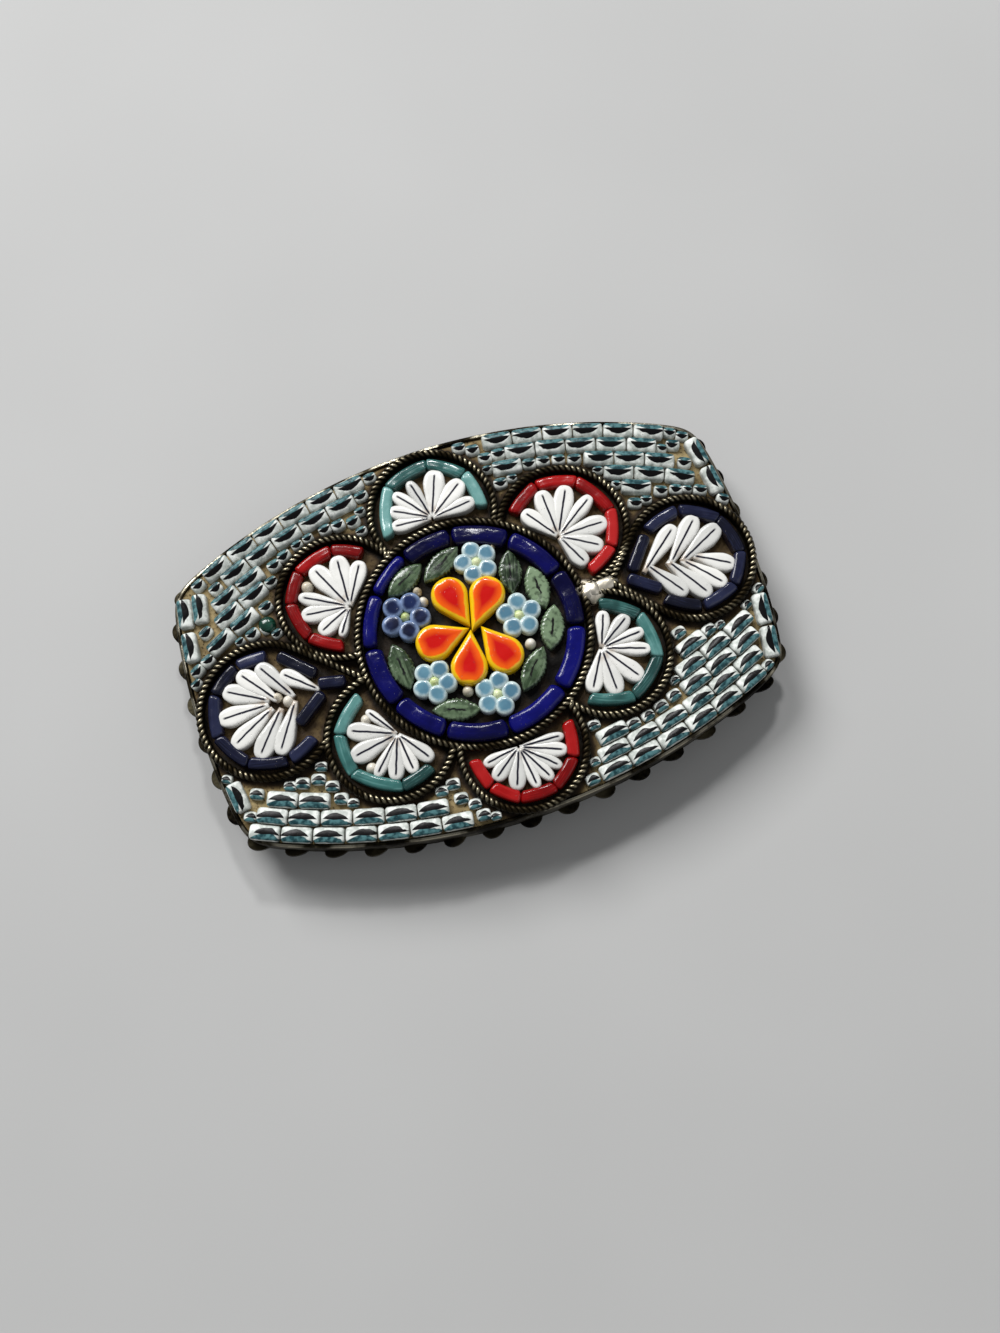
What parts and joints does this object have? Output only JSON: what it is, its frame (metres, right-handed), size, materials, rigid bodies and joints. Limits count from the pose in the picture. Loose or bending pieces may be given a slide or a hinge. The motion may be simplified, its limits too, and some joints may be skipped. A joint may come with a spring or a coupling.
{
  "type": "micromosaic brooch",
  "caption": "Long shield-shaped brooch with a domed face of small glass stones in twisted wire cells and a plain closed pin on the back.",
  "frame": {"origin": "middle of the brooch's footprint, on the surface that its back fittings lie on", "axes": "+X along the brooch, +Y up the face as worn, +Z out of the face"},
  "size_m": [0.046, 0.0312, 0.0069],
  "materials": {
    "tarnished_brass": "tarnished, worn bright on the crests",
    "fitting_brass": "dull",
    "cement": "matt, grimy",
    "cobalt_glass": "opaque glass, glossy and pitted",
    "orange_glass": "opaque glass with a yellow rim and a red core",
    "leaf_glass": "opaque streaked glass",
    "dark_blue_glass": "opaque glass",
    "pale_blue_glass": "opaque glass with paler rims",
    "white_glass": "opaque glass with a dark centre line",
    "teal_glass": "opaque glass, satin",
    "red_glass": "opaque glass, glossy",
    "navy_glass": "opaque glass, dull",
    "banded_glass": "opaque glass in white, black and teal bands"
  },
  "bodies": {
    "root": {"tray": "tarnished_brass", "pin_fitting": "fitting_brass", "cement": "cement", "cobalt_bar_01": "cobalt_glass", "cobalt_bar_02": "cobalt_glass", "cobalt_bar_03": "cobalt_glass", "cobalt_bar_04": "cobalt_glass", "cobalt_bar_05": "cobalt_glass", "cobalt_bar_06": "cobalt_glass", "cobalt_bar_07": "cobalt_glass", "cobalt_bar_08": "cobalt_glass", "cobalt_bar_09": "cobalt_glass", "cobalt_bar_10": "cobalt_glass", "cobalt_bar_11": "cobalt_glass", "orange_petal_1": "orange_glass", "orange_petal_2": "orange_glass", "orange_petal_3": "orange_glass", "orange_petal_4": "orange_glass", "orange_petal_5": "orange_glass", "leaf_1": "leaf_glass", "leaf_2": "leaf_glass", "leaf_3": "leaf_glass", "leaf_4": "leaf_glass", "leaf_5": "leaf_glass", "leaf_6": "leaf_glass", "leaf_7": "leaf_glass", "leaf_8": "leaf_glass", "small_flower_1": "dark_blue_glass", "small_flower_2": "pale_blue_glass", "small_flower_3": "pale_blue_glass", "small_flower_4": "pale_blue_glass", "small_flower_5": "pale_blue_glass", "bars_top": "teal_glass", "fan_top": "white_glass", "bars_upper_right": "red_glass", "fan_upper_right": "white_glass", "bars_lower_right": "teal_glass", "fan_lower_right": "white_glass", "bars_bottom": "red_glass", "fan_bottom": "white_glass", "bars_lower_left": "teal_glass", "fan_lower_left": "white_glass", "bars_upper_left": "red_glass", "fan_upper_left": "white_glass", "bars_drop_left": "navy_glass", "fan_drop_left": "white_glass", "bars_drop_right": "navy_glass", "fan_drop_right": "white_glass", "field_upper_left": "banded_glass", "field_upper_right": "banded_glass", "field_lower_right": "banded_glass", "field_lower_left": "banded_glass"}
  },
  "joints": []
}
